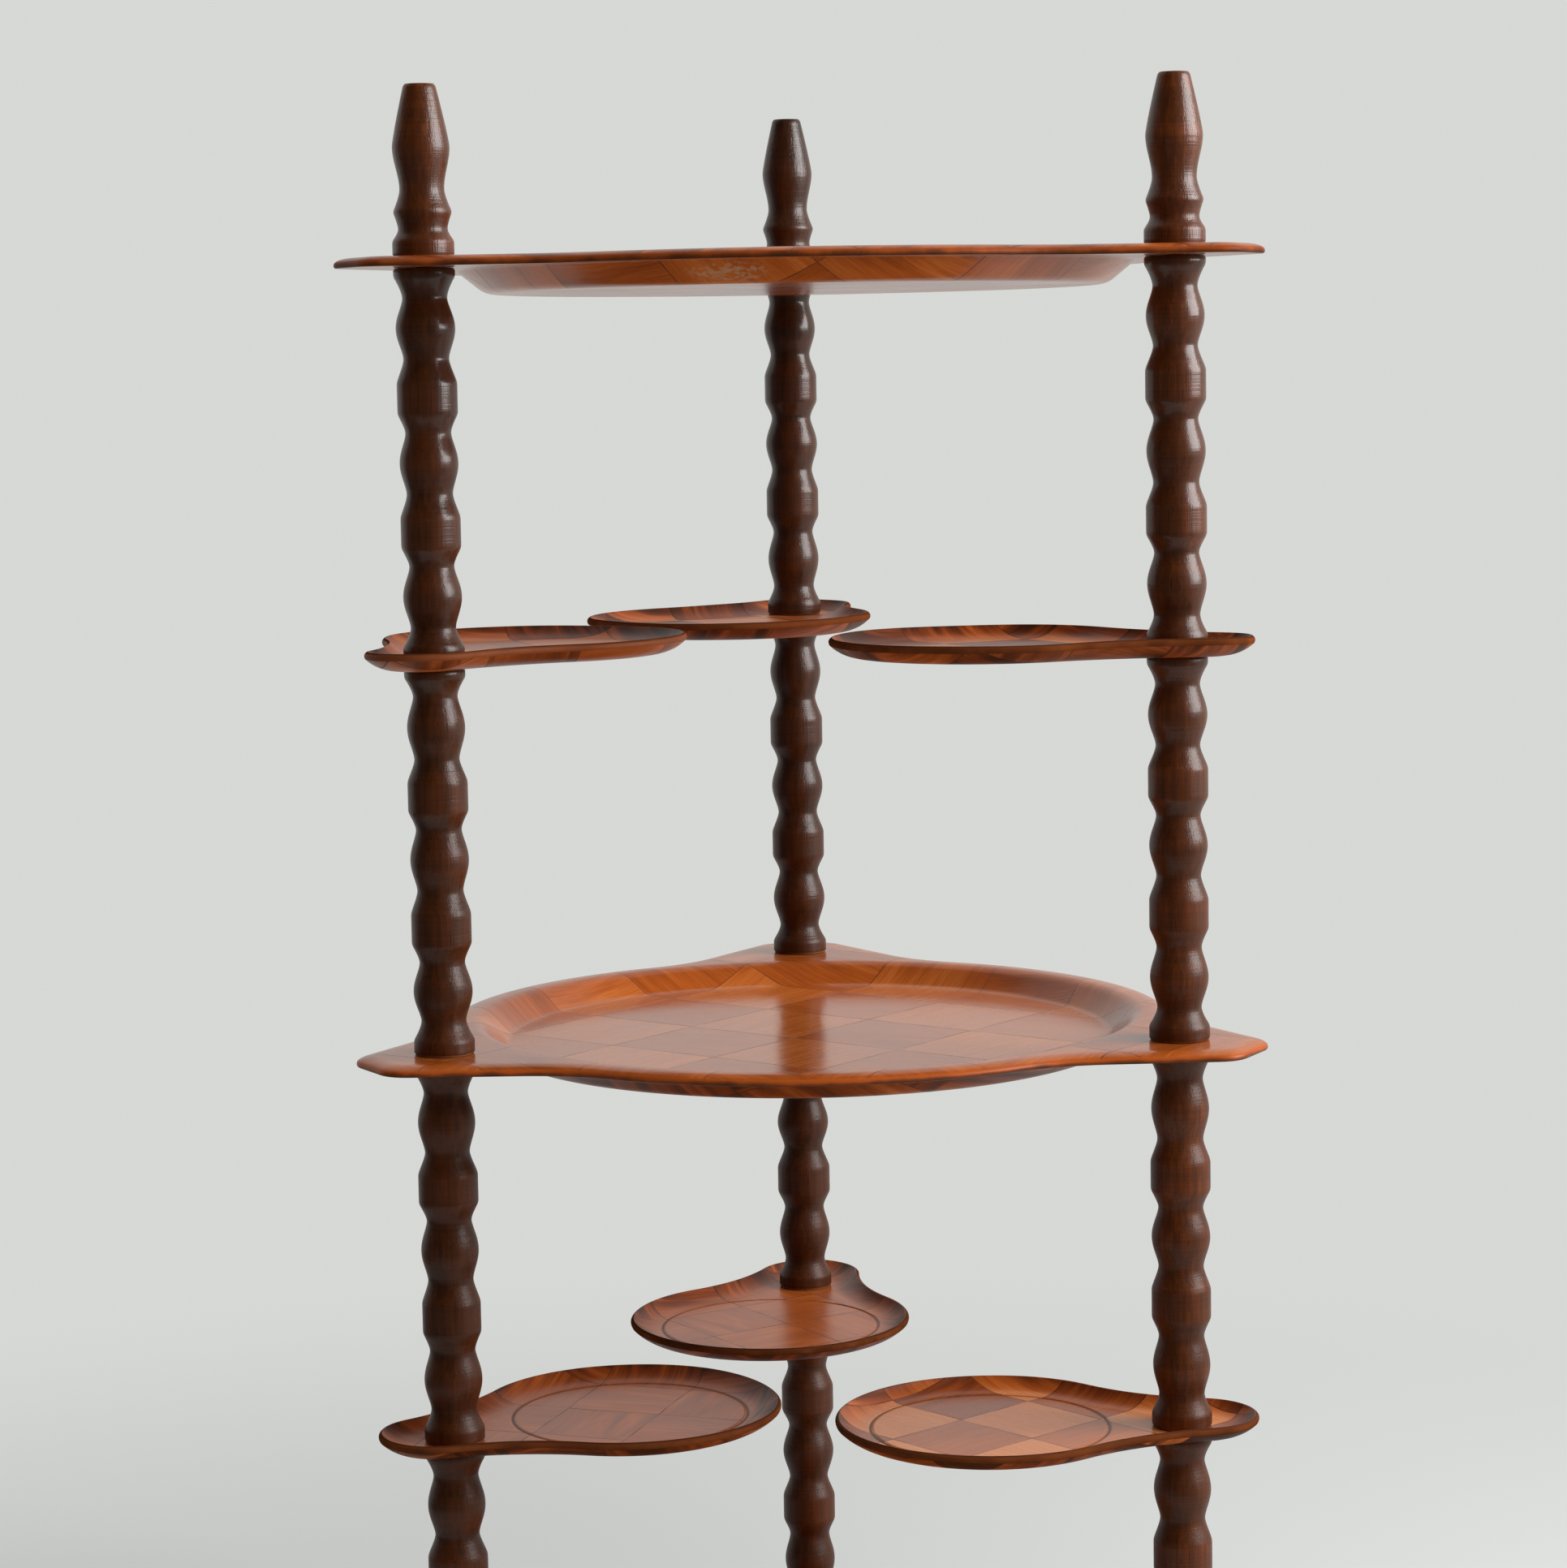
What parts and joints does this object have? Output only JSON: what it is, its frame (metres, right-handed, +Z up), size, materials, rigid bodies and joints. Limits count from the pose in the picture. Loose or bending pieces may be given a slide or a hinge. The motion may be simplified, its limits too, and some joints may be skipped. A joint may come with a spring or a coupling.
{
  "type": "plant stand",
  "caption": "Free-standing plant stand: turned wooden posts carry round dished trays and, between them, small pear-shaped trays that swing about the posts.",
  "frame": {"origin": "on the floor, under the middle of the bounding box", "axes": "+Z is up along the posts, -Y is the open front between the left and right posts, +Y points to the back post, +X is to the right as seen from the front"},
  "size_m": [0.4968, 0.4818, 1.0197],
  "materials": {
    "turned_wood": "dark brown stained and lacquered, glossy, with fine turning lines",
    "tray_veneer": "orange-brown veneer in chequered squares, pressed to shape and lacquered",
    "stud_steel": "plain steel, hidden inside the wood"
  },
  "bodies": {
    "frame": {"foot_left": "turned_wood", "spindle_left_1": "turned_wood", "spindle_left_2": "turned_wood", "spindle_left_3": "turned_wood", "spindle_left_4": "turned_wood", "finial_left": "turned_wood", "foot_right": "turned_wood", "spindle_right_1": "turned_wood", "spindle_right_2": "turned_wood", "spindle_right_3": "turned_wood", "spindle_right_4": "turned_wood", "finial_right": "turned_wood", "foot_back": "turned_wood", "spindle_back_1": "turned_wood", "spindle_back_2": "turned_wood", "spindle_back_3": "turned_wood", "spindle_back_4": "turned_wood", "finial_back": "turned_wood", "tray_bottom": "tray_veneer", "tray_middle": "tray_veneer", "tray_top": "tray_veneer", "stud_left_bottom": "stud_steel", "stud_left_lower": "stud_steel", "stud_left_middle": "stud_steel", "stud_left_upper": "stud_steel", "stud_left_top": "stud_steel", "stud_right_bottom": "stud_steel", "stud_right_lower": "stud_steel", "stud_right_middle": "stud_steel", "stud_right_upper": "stud_steel", "stud_right_top": "stud_steel", "stud_back_bottom": "stud_steel", "stud_back_lower": "stud_steel", "stud_back_middle": "stud_steel", "stud_back_upper": "stud_steel", "stud_back_top": "stud_steel"},
    "swing_tray_lower_left": {"swing_tray_lower_left": "tray_veneer"},
    "swing_tray_lower_right": {"swing_tray_lower_right": "tray_veneer"},
    "swing_tray_lower_back": {"swing_tray_lower_back": "tray_veneer"},
    "swing_tray_upper_left": {"swing_tray_upper_left": "tray_veneer"},
    "swing_tray_upper_right": {"swing_tray_upper_right": "tray_veneer"},
    "swing_tray_upper_back": {"swing_tray_upper_back": "tray_veneer"}
  },
  "joints": [
    {"name": "swing_tray_lower_left_pivot", "type": "hinge", "parent": "frame", "child": "swing_tray_lower_left", "pos_m": [-0.2, -0.15047, 0.2846], "axis": [0, 0, 1], "continuous": true},
    {"name": "swing_tray_lower_right_pivot", "type": "hinge", "parent": "frame", "child": "swing_tray_lower_right", "pos_m": [0.2, -0.15047, 0.2846], "axis": [0, 0, 1], "continuous": true},
    {"name": "swing_tray_lower_back_pivot", "type": "hinge", "parent": "frame", "child": "swing_tray_lower_back", "pos_m": [0, 0.19594, 0.2846], "axis": [0, 0, 1], "continuous": true},
    {"name": "swing_tray_upper_left_pivot", "type": "hinge", "parent": "frame", "child": "swing_tray_upper_left", "pos_m": [-0.2, -0.15047, 0.7136], "axis": [0, 0, 1], "continuous": true},
    {"name": "swing_tray_upper_right_pivot", "type": "hinge", "parent": "frame", "child": "swing_tray_upper_right", "pos_m": [0.2, -0.15047, 0.7136], "axis": [0, 0, 1], "continuous": true},
    {"name": "swing_tray_upper_back_pivot", "type": "hinge", "parent": "frame", "child": "swing_tray_upper_back", "pos_m": [0, 0.19594, 0.7136], "axis": [0, 0, 1], "continuous": true}
  ]
}
